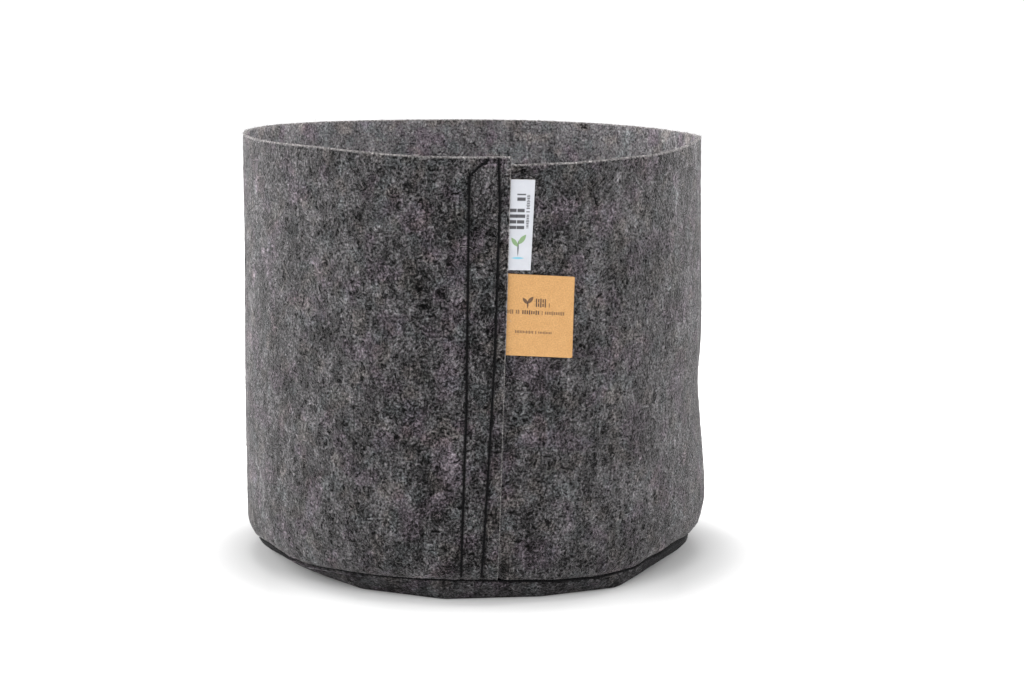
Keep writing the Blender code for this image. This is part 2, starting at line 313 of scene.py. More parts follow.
def wall_sheet():
    """The strip's outer face as an array (column, row, xyz), and how close each point is to a row."""
    rim = easing(RIM_HEIGHT, strip)
    flow = (heights - heights[0]) / (heights[-1] - heights[0])
    rows_z = heights[0] + (rim[:, None] - heights[0]) * flow[None, :]
    low = along(FLAP_EDGE, rows_z)
    angle = INNER_END + share[:, None] * (360 + low - INNER_END)
    strip_angle = np.broadcast_to(strip[:, None], angle.shape)
    radius, z = wall_face(angle, rows_z, strip_angle)
    pulled, close = row_depth(angle, rows_z, strip_angle)
    # the free edge of the flap lies down on the layer below it, except over the two tags
    edge_near = np.clip((strip_angle - EDGE_FROM) / EDGE_EASED, 0, 1)
    tagged = np.zeros_like(edge_near)
    for name in ("woven_label_tab", "kraft_card_tab"):
        low_corner, high_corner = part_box(name)
        bottom, top = low_corner[2] - TAG_CLEAR, high_corner[2] + TAG_CLEAR
        tagged = np.maximum(tagged, np.clip((rows_z - bottom) / TAG_EASED, 0, 1)
                            * np.clip((top - rows_z) / TAG_EASED, 0, 1))
    radius = radius - pulled - EDGE_DOWN * edge_near * (1 - tagged)
    outer = spot(angle, radius, z)
    lip_z = outer[:, 0, 2]
    lip_angle = angle[:, 0]
    lip = [spot(lip_angle, ALLOWANCE_RADIUS + (LIP_RADIUS - ALLOWANCE_RADIUS) * k, lip_z - 0.0001)
           for k in LIP_SHARES]
    outer = np.concatenate([np.stack(lip, 1), outer], 1)
    close = np.concatenate([np.zeros((len(strip), len(lip))), close], 1)
    return outer, close


def sheet_normals(points):
    """Unit normals of a grid of points, pointing out of the bag or down at the seam."""
    across = np.gradient(points, axis=0)
    up = np.gradient(points, axis=1)
    normal = np.cross(across, up)
    if np.allclose(points[:, 0], points[0, 0]):
        normal[:, 0] = normal[:, 1]
    return normal / np.linalg.norm(normal, axis=-1, keepdims=True)


def lumps(points, size, seed):
    """Smooth noise from -1 to 1 at each point, with lumps of about that size."""
    flat = points.reshape(-1, 3) / size + seed
    return np.array([noise.noise(Vector(p)) for p in flat]).reshape(points.shape[:-1])


# a rounded cut edge, (share of the way from outer to inner face, rise in thicknesses)
RIM_ROUND = ((0.15, 0.16), (0.5, 0.24), (0.85, 0.16))
FOOT_ROUND = (0.25, 0.75)
FOOT_RISE = 0.2
RIM_ROWS = len(RIM_ROUND)
CLOTH_GAP = 0.002              # cloth coordinates of the inner face start this far past the rim


def shell(name, outer, thickness, closed, masks=None, uv_shift=0.0):
    """A sheet: outer face, inner face and rounded cut edges, as one closed mesh.
    closed joins the last column to the first. masks are per-point values for the material."""
    if closed:
        outer = np.concatenate([outer, outer[:1]])
        masks = {k: np.concatenate([v, v[:1]]) for k, v in (masks or {}).items()}
    normal = sheet_normals(outer)
    if closed:
        normal[0] = normal[-1] = (normal[0] + normal[-1]) / 2
    inner = outer - normal * thickness
    columns, rows = outer.shape[:2]
    # the section loop runs up the outer face, over the rim, down the inner face
    rise = outer[:, -1] - outer[:, -2]
    rise /= np.linalg.norm(rise, axis=-1, keepdims=True)
    over = [outer[:, -1] + (inner[:, -1] - outer[:, -1]) * k + rise * thickness * h
            for k, h in RIM_ROUND]
    end_mid = outer[:, 0] - outer[:, 1]
    end_mid /= np.linalg.norm(end_mid, axis=-1, keepdims=True)
    under = [inner[:, 0] + (outer[:, 0] - inner[:, 0]) * k + end_mid * thickness * FOOT_RISE
             for k in FOOT_ROUND]
    loop = np.concatenate([outer, np.stack(over, 1), inner[:, ::-1], np.stack(under, 1)], 1)
    around = loop.shape[1]
    verts = loop.reshape(-1, 3)
    a = np.arange(columns - 1)[:, None] * around + np.arange(around)[None, :]
    b = np.arange(columns - 1)[:, None] * around + (np.arange(around)[None, :] + 1) % around
    faces = np.stack([a, a + around, b + around, b], -1).reshape(-1, 4).tolist()
    if not closed:
        for column, turn in ((0, False), (columns - 1, True)):
            base = column * around
            top = [base + rows + k for k in range(RIM_ROWS)]
            low = [base + 2 * rows + RIM_ROWS + k for k in range(len(FOOT_ROUND))]
            pairs = [(base + r, base + 2 * rows + RIM_ROWS - 1 - r) for r in range(rows)]
            caps = [(pairs[r][0], pairs[r + 1][0], pairs[r + 1][1], pairs[r][1])
                    for r in range(rows - 1)]
            caps.append((pairs[-1][0], *top, pairs[-1][1]))
            caps.append((pairs[0][1], *low, pairs[0][0]))
            faces += [cap[::-1] if turn else cap for cap in caps]
    mesh = bpy.data.meshes.new(name)
    mesh.from_pydata(verts.tolist(), [], faces)
    # cloth coordinates in metres along and up the sheet, the inner face set aside from the outer
    length, height = (np.concatenate([[0], np.cumsum(np.linalg.norm(np.diff(line, axis=0), axis=-1))])
                      for line in (outer[:, rows // 2], outer[columns // 2]))
    up = np.concatenate([height, height[-1] + np.array([0.0004, 0.0010, 0.0016]),
                         height[-1] + CLOTH_GAP + (height[-1] - height[::-1]),
                         2 * height[-1] + CLOTH_GAP + np.array([0.0006, 0.0014])])
    # around goes back to its first row over one last narrow face, which shares that row's height
    loops = np.zeros(len(mesh.loops), int)
    mesh.loops.foreach_get("vertex_index", loops)
    coords = np.stack([length[loops // around] + uv_shift, up[loops % around]], -1)
    layer = mesh.uv_layers.new(name="cloth")
    layer.data.foreach_set("uv", coords.astype(np.float32).ravel())
    # of the masks, sewn darkens the felt: pressed felt and painted shade in the stitch grooves, painted shade
    # in the base's gaps
    full_masks = {key: np.zeros((columns, around)) for key in ("cut", "sewn", "inside")}
    full_masks["inside"][:, rows + RIM_ROWS - 1:] = 1
    full_masks["cut"][:, rows:rows + RIM_ROWS] = 1
    full_masks["cut"][:, rows - 1] = full_masks["cut"][:, rows + RIM_ROWS] = 0.7
    if not closed:
        full_masks["cut"][[0, -1]] = 1
    for key, values in (masks or {}).items():
        full_masks[key][:, :rows] = values
    for key, values in full_masks.items():
        layer = mesh.attributes.new(key, "FLOAT", "POINT")
        layer.data.foreach_set("value", values.astype(np.float32).ravel())
    if closed:
        tidy = bmesh.new()
        tidy.from_mesh(mesh)
        bmesh.ops.remove_doubles(tidy, verts=tidy.verts, dist=1e-7)
        tidy.to_mesh(mesh)
        tidy.free()
    mesh.shade_smooth()
    return in_scene(name, mesh), outer, inner


def node_group(name, takes, gives):
    """An empty node group with named sockets, and the values that are given to it."""
    group = bpy.data.node_groups.new(name, "ShaderNodeTree")
    for way, sockets in (("INPUT", takes), ("OUTPUT", gives)):
        for socket, kind in sockets:
            group.interface.new_socket(socket, in_out=way, socket_type=f"NodeSocket{kind}")
    return group, group.nodes.new("NodeGroupInput").outputs


def scaled(tree, vector, by):
    """A vector or a colour times a number."""
    return add_node(tree, "ShaderNodeVectorMath", {0: vector, "Scale": by}, operation="SCALE").outputs[0]


def soft_noise(tree, place, scale, detail, roughness=0.5, dimensions="2D", output="Fac"):
    return add_node(tree, "ShaderNodeTexNoise",
                    {"Vector": place, "Scale": scale, "Detail": detail, "Roughness": roughness},
                    noise_dimensions=dimensions).outputs[output]


def roughen(tree, shader, height, strength, distance):
    """Bumps a material's face by a height."""
    bump = add_node(tree, "ShaderNodeBump", {"Strength": strength, "Distance": distance, "Height": height})
    tree.links.new(bump.outputs[0], shader.inputs["Normal"])


def felt_group():
    """Needled felt: matted fibres lying every way, as clumps, pale and dark strands, and specks."""
    group, given = node_group("needled_felt",
                              (("Cloth", "Vector"), ("Cut Edge", "Float"), ("Pressed Felt And Shade", "Float"),
                               ("Inside", "Float"), ("Fibre", "Color"), ("Frayed And Highlight", "Color")),
                              (("Colour", "Color"), ("Height", "Float")))
    mm = scaled(group, given["Cloth"], 1000.0)

    def cloud(vector, scale, detail, roughness=0.5, output="Fac", apart=0.0):
        """Noise about zero, with features of about 1 / scale mm; apart sets it off from the others."""
        placed = add_node(group, "ShaderNodeVectorMath", {0: vector, 1: (apart, 0.7 * apart, 0)},
                          operation="ADD").outputs[0]
        noise_out = soft_noise(group, placed, scale, detail, roughness, output=output)
        if output == "Color":
            return add_node(group, "ShaderNodeVectorMath", {0: noise_out, 1: (0.5, 0.5, 0.5)},
                            operation="SUBTRACT").outputs[0]
        return maths(group, "SUBTRACT", noise_out, 0.5)

    def spread(value, low, high, to_low=0.0, to_high=1.0):
        return add_node(group, "ShaderNodeMapRange",
                        {"Value": value, "From Min": low, "From Max": high, "To Min": to_low,
                         "To Max": to_high}, interpolation_type="SMOOTHSTEP").outputs[0]

    def weighed(terms):
        """The sum of (value, weight) pairs."""
        total = 0.0
        for value, weight in terms:
            total = maths(group, "MULTIPLY_ADD", value, weight, total)
        return total

    bend = scaled(group, cloud(mm, 0.25, 1.0, output="Color"), 7.0)
    wavy = add_node(group, "ShaderNodeVectorMath", {0: mm, 1: bend}, operation="ADD").outputs[0]

    def strands(directions, width, length, low, high, shift):
        """Thin wandering strokes in several directions, the strongest kept where they cross."""
        layers = None
        for i, degrees in enumerate(directions):
            laid = add_node(group, "ShaderNodeMapping",
                            {"Vector": wavy, "Location": (shift + 17.3 * i, shift - 9.1 * i, 0),
                             "Rotation": (0, 0, math.radians(degrees)),
                             "Scale": (1 / width, 1 / length, 1)}).outputs[0]
            stroke = spread(cloud(laid, 1.0, 0.0), low, high)
            layers = stroke if layers is None else maths(group, "MAXIMUM", layers, stroke)
        return layers

    pale = strands((12, 58, 103, 151), 0.55, 3.2, 0.10, 0.24, 3.0)
    fine_pale = strands((35, 82, 128), 0.36, 2.0, 0.10, 0.22, 40.0)
    dark = strands((25, 76, 120, 165), 0.60, 2.6, 0.10, 0.24, 80.0)
    # clouds that are longer up the wall, the way the felt was drawn off the needle loom
    drawn = add_node(group, "ShaderNodeMapping", {"Vector": mm, "Scale": (1.0, 0.55, 1.0)}).outputs[0]
    crumbs = cloud(mm, 0.74, 1.0, 0.7)
    clump = cloud(wavy, 0.42, 1.0, 0.6, apart=31.0)
    tuft = cloud(drawn, 0.20, 1.0, 0.6, apart=67.0)
    patch = cloud(drawn, 0.060, 1.0, 0.55, apart=113.0)
    holes = spread(cloud(wavy, 0.30, 0.0, apart=151.0), 0.19, 0.27)

    # brightness in stops, then eased so that pale and dark fibres stand equally far from the middle
    stops = weighed(((crumbs, 6.8), (clump, 3.8), (tuft, 3.5), (patch, 3.1), (pale, 0.75),
                     (fine_pale, 0.55), (dark, -1.1), (holes, -1.7), (given["Inside"], 3.4)))
    eased = maths(group, "MAXIMUM", maths(group, "MULTIPLY_ADD", stops, 0.29, 1.0), 0.15)
    colour = scaled(group, given["Fibre"], maths(group, "POWER", eased, 2.4))
    # recycled fibres of many colours leave faint plum, brown and green casts, wide and as specks
    for size, apart, low, high, amount, tint in (
            (0.050, 201.0, 0.02, 0.16, 0.45, (1.14, 0.90, 1.10, 1)),
            (0.062, 251.0, 0.04, 0.18, 0.50, (1.09, 1.00, 0.89, 1)),
            (0.070, 293.0, 0.05, 0.18, 0.45, (0.88, 1.03, 1.02, 1)),
            (0.700, 331.0, 0.05, 0.20, 0.30, (1.20, 0.92, 1.08, 1)),
            (0.800, 373.0, 0.05, 0.20, 0.30, (0.90, 1.04, 1.12, 1))):
        share = spread(cloud(mm, size, 1.0, 0.6, apart=apart), low, high, 0.0, amount)
        colour = mixed(group, share, colour, tint, "MULTIPLY")
    frayed_and_highlight = scaled(group, given["Frayed And Highlight"], maths(group, "POWER", 2.0, maths(group, "MULTIPLY", crumbs, 5.0)))
    # cut edges take the pale frayed colour: the fibres' own paleness, and a painted highlight of the light
    # that a cut edge catches
    colour = mixed(group, maths(group, "MULTIPLY", given["Cut Edge"], 0.85), colour, frayed_and_highlight)
    # painted shade: the felt turns near black along the stitch grooves, where pressed felt is darker and
    # shade falls, and inside the base's gaps
    colour = mixed(group, maths(group, "MULTIPLY", given["Pressed Felt And Shade"], 0.92), colour, (0.004, 0.004, 0.005, 1))
    height = weighed(((pale, 0.45), (fine_pale, 0.3), (dark, -0.3), (crumbs, 1.6), (clump, 1.0),
                      (holes, -0.6)))
    result = group.nodes.new("NodeGroupOutput")
    group.links.new(colour, result.inputs["Colour"])
    group.links.new(height, result.inputs["Height"])
    return group


needled_felt = felt_group()


FRAYED_AND_HIGHLIGHT = (0.38, 0.36, 0.355, 1)    # the pale fibres of a cut edge, made paler still as a painted highlight of the light that the rim catches


def felt_material(name, fibre, nap):
    made, tree, shader = material(name, 0.92)
    cloth = add_node(tree, "ShaderNodeUVMap", uv_map="cloth").outputs[0]
    fibres = add_node(tree, "ShaderNodeGroup")
    fibres.node_tree = needled_felt
    tree.links.new(cloth, fibres.inputs["Cloth"])
    for mask, key in (("cut", "Cut Edge"), ("sewn", "Pressed Felt And Shade"), ("inside", "Inside")):
        value = add_node(tree, "ShaderNodeAttribute", attribute_name=mask).outputs["Fac"]
        tree.links.new(value, fibres.inputs[key])
    fibres.inputs["Fibre"].default_value = fibre
    fibres.inputs["Frayed And Highlight"].default_value = FRAYED_AND_HIGHLIGHT
    tree.links.new(fibres.outputs["Colour"], shader.inputs["Base Color"])
    roughen(tree, shader, fibres.outputs["Height"], strength=0.8, distance=0.0006)
    shader.inputs["Specular IOR Level"].default_value = 0.08
    shader.inputs["Sheen Weight"].default_value = nap
    shader.inputs["Sheen Roughness"].default_value = 0.24
    shader.inputs["Sheen Tint"].default_value = (0.95, 0.92, 0.92, 1)
    return made


felt = felt_material("charcoal_felt", fibre=(0.057, 0.055, 0.0565, 1), nap=0.36)

outer_face, pressed_felt_and_groove_shade = wall_sheet()
outward = sheet_normals(outer_face)
fine_lumps = 0.00016 * lumps(outer_face, 0.0055, 3.1)
broad_lumps = 0.00022 * lumps(outer_face, 0.016, 9.4)
outer_face = outer_face + outward * (fine_lumps + broad_lumps)[..., None]
# the groove mask darkens the felt along the rows: pressed felt and painted shade
wall, wall_outer, wall_inner = shell("felt_wall_panel", outer_face, FELT, False,
                                     masks={"sewn": pressed_felt_and_groove_shade})
wall.data.materials.append(felt)
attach(wall, "bag")
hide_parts("wall_panel")

# ---------------------------------------------------------------------------------------------
# Base panel: a felt disc about 28 cm across. Its edge is turned up into a shallow dish, creased
# into flats where the felt buckles, and folded inwards along the seam under the wall's edge.
# ---------------------------------------------------------------------------------------------
# the corners of its underside, (angle, radius)
BASE_CORNERS = [
    (-97, 0.1256), (-84, 0.1156), (-60, 0.1066), (-46, 0.1068), (-33, 0.1116), (-8, 0.1158),
    (18, 0.1154), (40, 0.1198), (50, 0.1136), (61, 0.1100), (84, 0.1170), (97, 0.1256),
    (120, 0.1140), (150, 0.1155), (180, 0.1130), (210, 0.1155), (240, 0.1140),
]
BASE_TOP = 0.0118              # height of the fold
BASE_FOLD = 0.1243             # radius of the fold
BASE_AROUND = np.arange(0, 360, 1.25)
CORNER_EASED = (-1.2, -0.6, 0, 0.6, 1.2)    # degrees over which each corner is averaged
FOLD_IN = 0.0011               # the fold turns inwards over this much
# where the wall overhangs the base's fold and leaves a dark gap, (angle, how far the fold is in)
OVERHANG = [
    (-112, 0.0004), (-97, 0.0002), (-86, 0.0016), (-66, 0.0034), (-54, 0.0016), (-44, 0.0), (44, 0.0),
    (54, 0.0016), (68, 0.0036), (86, 0.0016), (97, 0.0002), (112, 0.0004), (150, 0.0014), (190, 0.0002),
    (225, 0.0012),
]
# and how far that gap stands open, (angle, opening)
GAPE = [
    (-112, 0.0002), (-98, 0.0014), (-88, 0.0026), (-62, 0.0030), (-50, 0.0012), (-42, 0.0), (46, 0.0),
    (54, 0.0020), (66, 0.0036), (88, 0.0030), (100, 0.0014), (112, 0.0), (150, 0.0008), (190, 0.0),
    (225, 0.0006),
]


def creased_outline(angle):
    """Radius of the underside's outline: straight from corner to corner, each corner eased."""
    spots = sorted((a % 360, r) for a, r in BASE_CORNERS)
    spots = [(spots[-1][0] - 360, spots[-1][1])] + spots + [(spots[0][0] + 360, spots[0][1])]
    total = 0
    for shift in CORNER_EASED:
        a = (np.asarray(angle, float) + shift) % 360
        i = np.clip(np.searchsorted([c[0] for c in spots], a) - 1, 0, len(spots) - 2)
        a0, r0 = np.array(spots)[i].T
        a1, r1 = np.array(spots)[i + 1].T
        chord = r0 * r1 * np.sin(np.radians(a1 - a0)) / (
            r0 * np.sin(np.radians(a - a0)) + r1 * np.sin(np.radians(a1 - a)))
        total = total + chord
    return total / len(CORNER_EASED)


def base_sheet():
    """The base's underside, side and turned-in edge as rings of points, from its middle outwards."""
    corner = creased_outline(BASE_AROUND)
    fold = BASE_FOLD - round_the_bag(OVERHANG, BASE_AROUND)
    rise = round_the_bag(SEAM_RISE, BASE_AROUND)
    gape = round_the_bag(GAPE, BASE_AROUND)
    rings = [(corner * k, 0 * corner) for k in np.linspace(0, 0.93, 15)]
    rings += [(corner - 0.0035, 0 * corner), (corner - 0.0014, 0 * corner + 0.0001),
              (corner + 0.0002, 0 * corner + 0.0009)]
    for k in np.linspace(0.16, 0.88, 9):
        bulge = 0.0010 * math.sin(math.pi * k)
        rings.append((corner + (fold - corner) * k + bulge, 0.0008 + (BASE_TOP - 0.0012 + rise - gape) * k))
    top = BASE_TOP + rise
    rings += [(fold - 0.0001, top - gape - 0.0009), (fold - 0.0004, top - gape - 0.0003),
              (fold - FOLD_IN, top - gape)]
    inwards = fold - FOLD_IN - ALLOWANCE_RADIUS
    rings += [(fold - FOLD_IN - k * inwards, top - gape * (1 - k * k * (3 - 2 * k)) - 0.0002 * k)
              for k in (0.25, 0.5, 0.75, 1.0)]
    return np.stack([spot(BASE_AROUND, radius, z) for radius, z in rings], 1)


base_face = base_sheet()
off_floor = base_face[..., 2] > 0.0008
base_face += sheet_normals(base_face) * (0.00014 * lumps(base_face, 0.005, 21.7) * off_floor)[..., None]
# painted shade: the felt inside the gaps is darkened towards black, where little light reaches it
gap_open = np.clip(round_the_bag(GAPE, BASE_AROUND) / 0.0022, 0, 1)[:, None]
gap_depth = np.clip((base_face[..., 2] - 0.0016) / 0.0014, 0, 1)
base, base_outer, _ = shell("felt_base_panel", base_face, FELT, True, uv_shift=1.3,
                            masks={"sewn": gap_open * gap_depth})
# painted shade: the base's felt is the wall's felt given a darker colour and less sheen, for the base that
# stands in shade
base.data.materials.append(felt_material("charcoal_felt_painted_shade", fibre=(0.042, 0.0405, 0.0418, 1), nap=0.04))
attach(base, "bag")
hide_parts("base_panel")

# ---------------------------------------------------------------------------------------------
# Side seam threads: two rows of lockstitch down the lap in bonded black polyester. The needle
# thread shows outside and the bobbin thread inside; each stitch sinks at its ends.
# ---------------------------------------------------------------------------------------------
PLY = 0.00033                  # radius of one ply of the three-ply thread
PLY_OUT = 0.00029              # a ply's centre from the middle of the thread
PLY_SIDES = 6
TWIST = 0.0034                 # the plies turn once round the thread in this length
STITCH_STATIONS = 9
STITCH_RISE, STITCH_SINK = 0.00030, 0.00035    # how far a stitch stands up, and sinks at its ends
NEEDLE_SEAT, BOBBIN_SEAT = 0.00005, 0.00030    # how far off the felt the two threads lie


def tube(verts, faces, points, radius, sides):
    """Adds a closed tube through the points."""
    ahead = np.gradient(points, axis=0)
    ahead /= np.linalg.norm(ahead, axis=-1, keepdims=True)
    side = np.cross(ahead[0], (0.31, 0.52, 0.79))
    side /= np.linalg.norm(side)
    first = len(verts)
    for i, point in enumerate(points):
        side = side - ahead[i] * side.dot(ahead[i])
        side /= np.linalg.norm(side)
        other = np.cross(ahead[i], side)
        for k in range(sides):
            turn = 2 * math.pi * k / sides
            verts.append(point + radius * (side * math.cos(turn) + other * math.sin(turn)))
    for i in range(len(points) - 1):
        for k in range(sides):
            a, b = first + i * sides + k, first + i * sides + (k + 1) % sides
            faces.append((a, b, b + sides, a + sides))
    faces.append([first + k for k in range(sides)][::-1])
    faces.append([first + (len(points) - 1) * sides + k for k in range(sides)])


def stitched_piece(name, stitches, node):
    """Three-ply stitches from (start, end, up) to one piece; up is the way off the felt."""
    verts, faces = [], []
    t = np.linspace(0, 1, STITCH_STATIONS)
    for number, (start, end, up) in enumerate(stitches):
        start, end, up = (np.asarray(v, float) for v in (start, end, up))
        across = np.cross(up, end - start)
        across /= np.linalg.norm(across)
        length = np.linalg.norm(end - start)
        rise = STITCH_RISE * np.sin(math.pi * t) ** 0.6 - STITCH_SINK * (np.abs(2 * t - 1) ** 10)
        middle = start + (end - start) * t[:, None] + up * rise[:, None]
        for ply in range(3):
            twist = 2 * math.pi * (ply / 3 + length / TWIST * t + 0.37 * number)
            around = up * np.cos(twist)[:, None] + across * np.sin(twist)[:, None]
            tube(verts, faces, middle + around * PLY_OUT, PLY, PLY_SIDES)
    mesh = bpy.data.meshes.new(name)
    mesh.from_pydata([tuple(v) for v in verts], [], faces)
    mesh.shade_smooth()
    mesh.materials.append(black_thread)
    piece = in_scene(name, mesh)
    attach(piece, "bag")
    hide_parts(node)
    return piece


def thread_material():
    made, tree, shader = material("black_thread", 0.62)
    place = add_node(tree, "ShaderNodeTexCoord").outputs["Object"]
    fine = soft_noise(tree, place, 2200.0, 2.0, dimensions="3D")
    shade = mixed(tree, fine, (0.001, 0.001, 0.0012, 1), (0.005, 0.0048, 0.0058, 1))
    tree.links.new(shade, shader.inputs["Base Color"])
    roughen(tree, shader, fine, strength=0.5, distance=0.00008)
    shader.inputs["Specular IOR Level"].default_value = 0.10
    return made


black_thread = thread_material()


def side_seam_stitches(row, outside):
    """The stitches of one row, with needle holes one stitch apart down the felt's real face."""
    top = row[0][0] if outside else row[0][0] - 0.004
    bottom = row[-1][0] - 0.0015 if outside else row[-1][0] + 0.005
    z = np.linspace(top, bottom, round((top - bottom) / STITCH) + 1)
    sideways = np.array([noise.noise(Vector((7.7 * v * 1000 / 31, row[0][1], 0.4))) for v in z]) * 0.09
    angle = along(row, z) + sideways
    if outside:
        radius, height = wall_face(angle, z, angle + 360)
        radius = radius + NEEDLE_SEAT
    else:
        radius, height = wall_face(angle, z, angle)
        radius = radius - FELT - BOBBIN_SEAT
    holes = spot(angle, radius, height)
    ups = spot(angle, np.ones_like(z), 0 * z) * (1 if outside else -1)
    return [(holes[i], holes[i + 1], ups[i]) for i in range(len(z) - 1)]


for side, row in (("left", LEFT_ROW), ("right", RIGHT_ROW)):
    for kind, outside in (("needle", True), ("bobbin", False)):
        stitched_piece(f"{side}_row_{kind}_stitches", side_seam_stitches(row, outside),
                       f"side_seam_{kind}_thread_{side}")

# ---------------------------------------------------------------------------------------------
# Base seam threads: one row of lockstitch through both seam allowances, sewn inside out. Inside
# the bag it lies along the allowances; outside, its stitches show at the bottom of the crease.
# ---------------------------------------------------------------------------------------------
BASE_STITCH = 0.0046
SEWN_RADIUS = 0.1172
BOBBIN_IN = 0.0012             # the bobbin thread lies this far inside the needle thread
IN_CREASE = 0.0005             # the needle thread's depth in the crease
CREASE_UP = 0.00012            # and its height over the fold
NEEDLE_OFF, BOBBIN_OFF = 0.0002, 0.0003    # how far off the allowances the two threads lie


def ring_stitches(radius, height, up):
    """Stitches once round; radius, height and up are functions of the angle."""
    count = round(2 * math.pi * float(np.mean(radius(np.arange(360)))) / BASE_STITCH)
    angle = np.arange(count + 1) * 360 / count
    holes = spot(angle, radius(angle), height(angle))
    return [(holes[i], holes[i + 1], up(angle[i])) for i in range(count)]


def above_allowance(angle):
    """Top of the wall's turned-in edge, which lies over both layers at the lap."""
    signed = (angle + 180) % 360 - 180
    lift = np.where(signed >= INNER_END, easing([(LAP_FULL - 6, LAP_STEP), (LAP_FULL - 2, 0.0)], signed),
                    easing([(INNER_END - 4, 0.0), (INNER_END, LAP_STEP)], signed))
    return SEAM_HEIGHT + FELT + lift + round_the_bag(SEAM_RISE, angle) + NEEDLE_OFF


def below_allowance(angle):
    return BASE_TOP - FELT + round_the_bag(SEAM_RISE, angle) - BOBBIN_OFF


def in_crease(angle):
    return BASE_TOP + CREASE_UP + round_the_bag(SEAM_RISE, angle)


def crease_radius(angle):
    return BASE_FOLD - IN_CREASE - 1.2 * round_the_bag(GAPE, angle)


inside_row = ring_stitches(lambda a: SEWN_RADIUS + 0 * a, above_allowance, lambda a: (0, 0, 1))
crease_row = ring_stitches(crease_radius, in_crease, lambda a: spot(a, 1.0, 0.0))
stitched_piece("base_seam_needle_stitches", inside_row + crease_row, "base_seam_needle_thread")
bobbin_row = ring_stitches(lambda a: SEWN_RADIUS - BOBBIN_IN + 0 * a, below_allowance,
                           lambda a: (0, 0, -1))
stitched_piece("base_seam_bobbin_stitches", bobbin_row, "base_seam_bobbin_thread")

# ---------------------------------------------------------------------------------------------
# Woven label: a white polyester satin ribbon folded in half, its two cut ends caught in the lap
# and its fold outside. Its long edges are heat-cut, and the marks are woven in.
# ---------------------------------------------------------------------------------------------
HINGE_OUT = 0.0015             # the fold line lies this far past the flap's edge
TAB_DEPTH = 0.0090             # how far the ribbon and the card reach in behind the flap
FOLD_EASE = 0.0008             # the flag starts to turn this far before its fold line
LABEL = {"top": 0.2229, "height": 0.0465, "width": 0.0125, "thickness": 0.0005}
RIBBON = 0.00018               # thickness of one ply of the ribbon
TAG_REST = 0.0003              # the tags lie this far off the inner layer of the lap


def fold_line(joint_name):
    """The middle of a tag's fold, the way up along it and the way out along the flag."""
    joint = next(j for j in frame["joints"] if j["name"] == joint_name)
    middle = np.array(joint["pos_m"])
    up = -np.array(joint["axis"])
    out = np.array([-middle[1], middle[0], 0.0])
    out -= up * out.dot(up)
    return middle, up, out / np.linalg.norm(out)


def tag_point(tag, line, across, up, off):
    """A point of a tag: across from the flap's edge, up from its lower end, and off its middle."""
    middle, axis, out = line
    facing = np.cross(out, axis)
    z = tag["top"] - tag["height"] + up
    radius = along(WALL_PROFILE, z) - LAP_STEP + TAG_REST + tag["thickness"] / 2
    behind = spot(along(FLAP_EDGE, z) + np.degrees(across / radius), radius + off, z)
    flag = (middle + axis * (up - tag["height"] / 2)[..., None] + out * (across - HINGE_OUT)[..., None]
            + facing * np.asarray(off)[..., None])
    outside = np.clip((across - HINGE_OUT) / FOLD_EASE + 0.5, 0, 1)[..., None]
    return behind + (flag - behind) * outside


def ribbon_section():
    """The folded ribbon in section: (across, off its middle) from one cut end round to the other."""
    ply_off = LABEL["thickness"] / 2
    turn = LABEL["width"] - ply_off
    runs = np.linspace(-TAB_DEPTH, turn, 44)
    bend = np.radians(np.linspace(75, -75, 6))
    return np.concatenate([
        np.stack([runs, ply_off + 0 * runs], 1),
        np.stack([turn + ply_off * np.cos(bend), ply_off * np.sin(bend)], 1),
        np.stack([runs[::-1], -ply_off + 0 * runs], 1),
    ])


def label_sheet():
    section = ribbon_section()
    up = np.linspace(0, LABEL["height"], 56)
    across, rise = np.meshgrid(section[:, 0], up, indexing="ij")
    off = np.broadcast_to(section[:, 1][:, None], across.shape)
    # heat-cut ends wave a little, and the ribbon's loose end bows off the felt
    ends = (2 * rise / LABEL["height"] - 1) ** 7
    place = np.stack([across, 0 * across, 0 * across + 0.3], -1)
    rise = rise + ends * 0.00012 * lumps(place, 0.0016, 5.5)
    free = np.clip(across / LABEL["width"], 0, 1)
    bow = 0.00030 * free ** 2 * np.cos(rise / LABEL["height"] * math.pi * 1.3 - 0.7)
    # the ribbon was cut a little out of square, wider at its upper end
    across = across + 0.00055 * free * (2 * rise / LABEL["height"] - 1)
    return tag_point(LABEL, fold_line("label_fold"), across, rise, off + bow)


